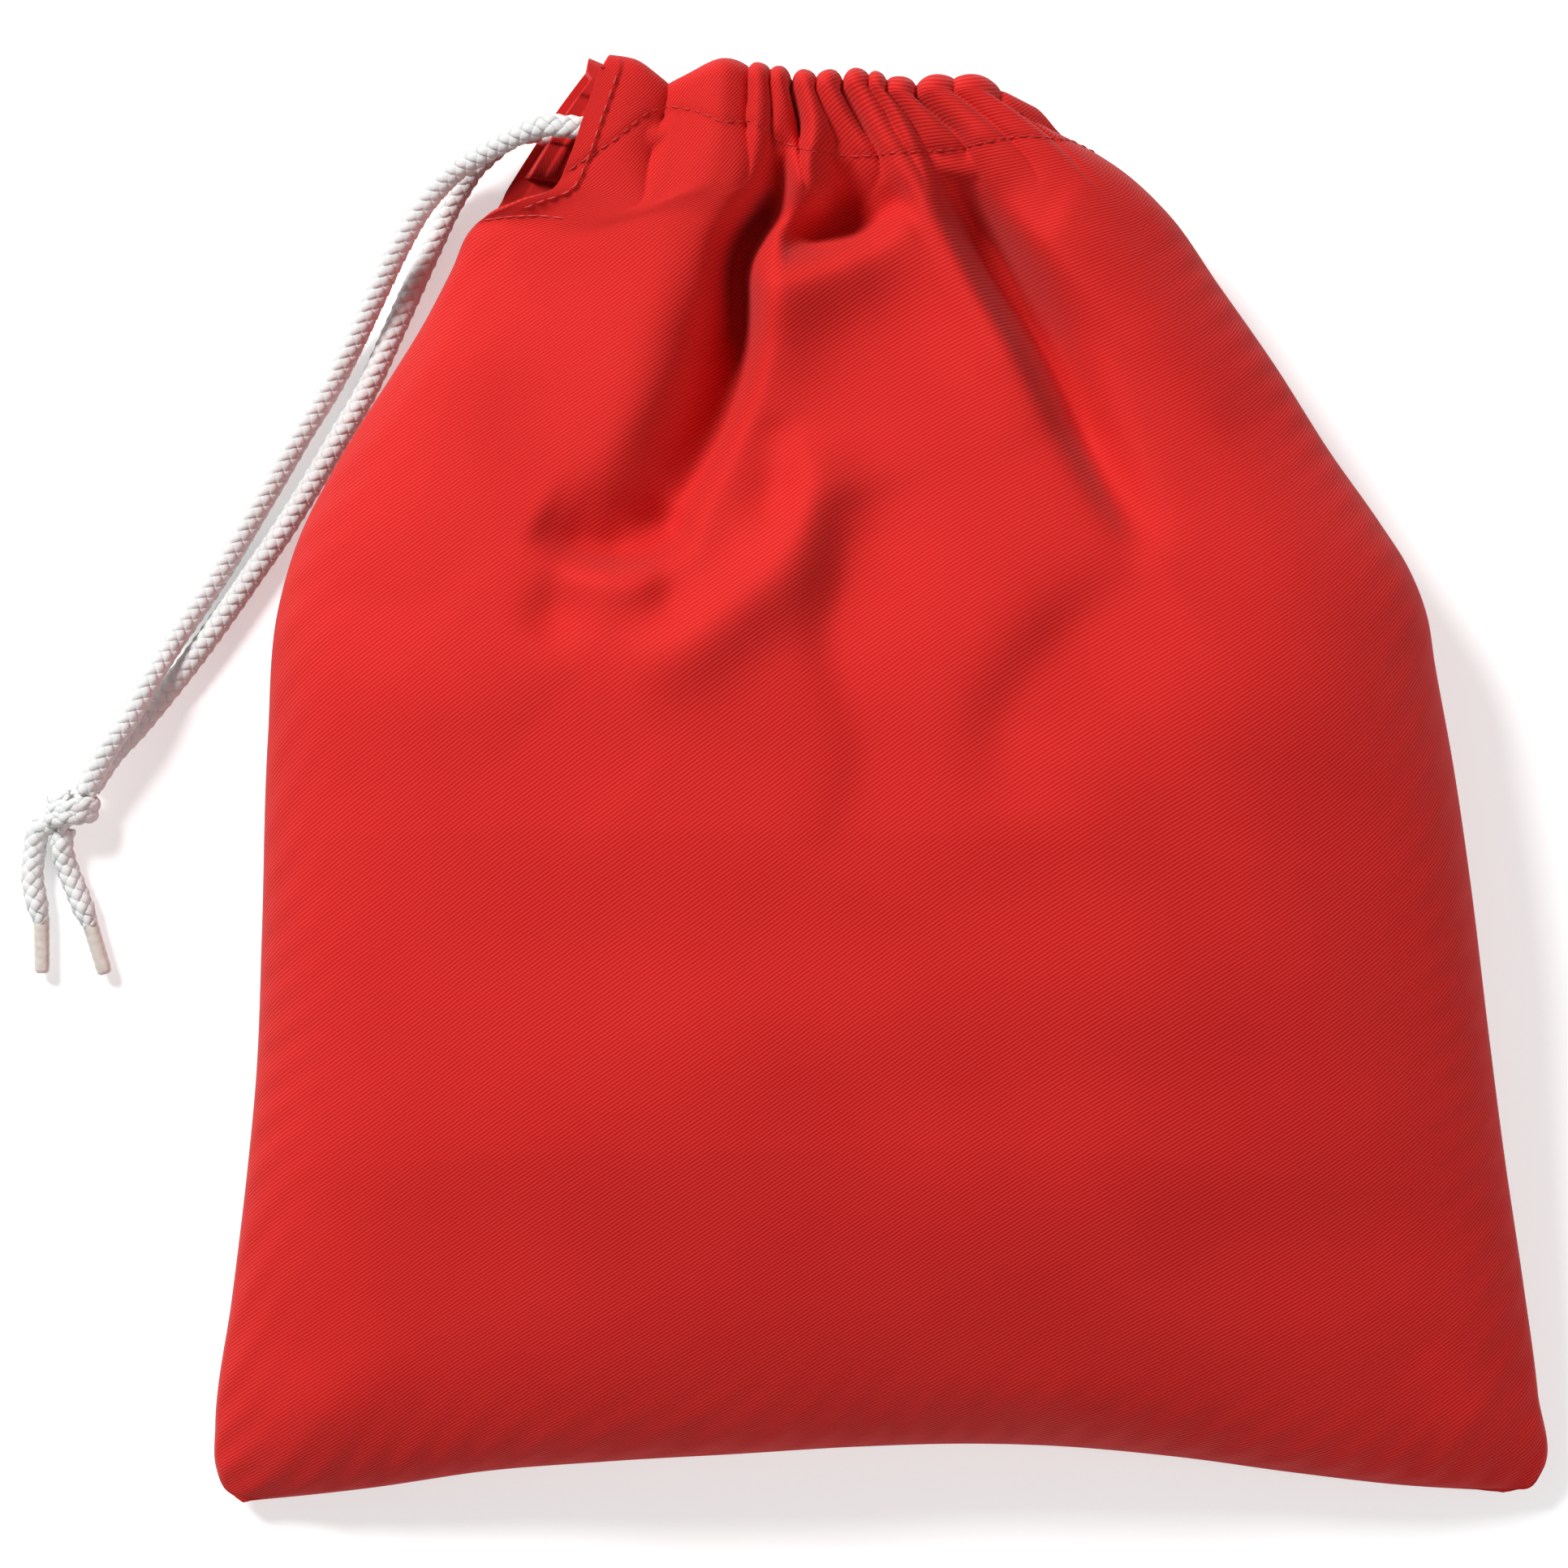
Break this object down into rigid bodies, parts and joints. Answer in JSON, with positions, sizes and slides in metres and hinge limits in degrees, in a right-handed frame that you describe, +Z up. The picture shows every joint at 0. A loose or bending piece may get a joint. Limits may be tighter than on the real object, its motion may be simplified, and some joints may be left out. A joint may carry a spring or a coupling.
{
  "type": "drawstring pouch",
  "caption": "Flat cloth pouch lying on its back, puffed by its filling, with a gathered mouth drawn by a braided cord whose tails leave a side slit and end in a knot with plastic tips.",
  "frame": {"origin": "on the floor under the middle of the bag, cord tails left out", "axes": "+Z up out of the front panel, +Y towards the mouth, +X away from the slit"},
  "size_m": [0.2825, 0.265, 0.0576],
  "materials": {
    "front_twill": "matte twill",
    "back_twill": "matte twill",
    "casing_twill": "matte twill",
    "hem_twill": "matte twill",
    "allowance_twill": "matte twill",
    "thread": "matte thread",
    "cord": "matte braid",
    "tip_plastic": "glossy translucent film"
  },
  "bodies": {
    "bag": {"front_panel": "front_twill", "back_panel": "back_twill", "front_casing": "casing_twill", "back_casing": "casing_twill", "front_slit_hem": "hem_twill", "back_slit_hem": "hem_twill", "left_seam_allowance": "allowance_twill", "right_seam_allowance": "allowance_twill", "bottom_seam_allowance": "allowance_twill", "left_seam_stitching": "thread", "right_seam_stitching": "thread", "bottom_seam_stitching": "thread", "front_casing_stitching": "thread", "back_casing_stitching": "thread", "front_slit_stitching": "thread", "back_slit_stitching": "thread", "slit_bar_tack": "thread"},
    "mouth_end": {"casing_gathered_end": "casing_twill"},
    "drawcord": {"drawcord_loop": "cord"},
    "tails": {"tail_front": "cord", "tail_back": "cord", "knot": "cord"},
    "left_end": {"end_left": "cord", "tip_left": "tip_plastic"},
    "right_end": {"end_right": "cord", "tip_right": "tip_plastic"}
  },
  "joints": [
    {"name": "drawcord_pull", "type": "slide", "parent": "bag", "child": "drawcord", "axis": [-0.9962, 0.0872, 0], "range_m": [0, 0.026]},
    {"name": "mouth_gather", "type": "slide", "parent": "bag", "child": "mouth_end", "axis": [-0.9962, 0.0872, 0], "range_m": [0, 0.026]},
    {"name": "tails_swing", "type": "hinge", "parent": "drawcord", "child": "tails", "pos_m": [-0.07413, 0.11574, 0], "axis": [0, 0, 1], "range_deg": [-50, 2]},
    {"name": "left_end_swing", "type": "hinge", "parent": "tails", "child": "left_end", "pos_m": [-0.15604, -0.00768, 0.00335], "axis": [0, 0, 1], "range_deg": [-25, 0]},
    {"name": "right_end_swing", "type": "hinge", "parent": "tails", "child": "right_end", "pos_m": [-0.15181, -0.01103, 0.00335], "axis": [0, 0, 1], "range_deg": [0, 25]}
  ],
  "couplings": [
    {"joint": "mouth_gather", "follows": "drawcord_pull", "ratio": 1}
  ]
}
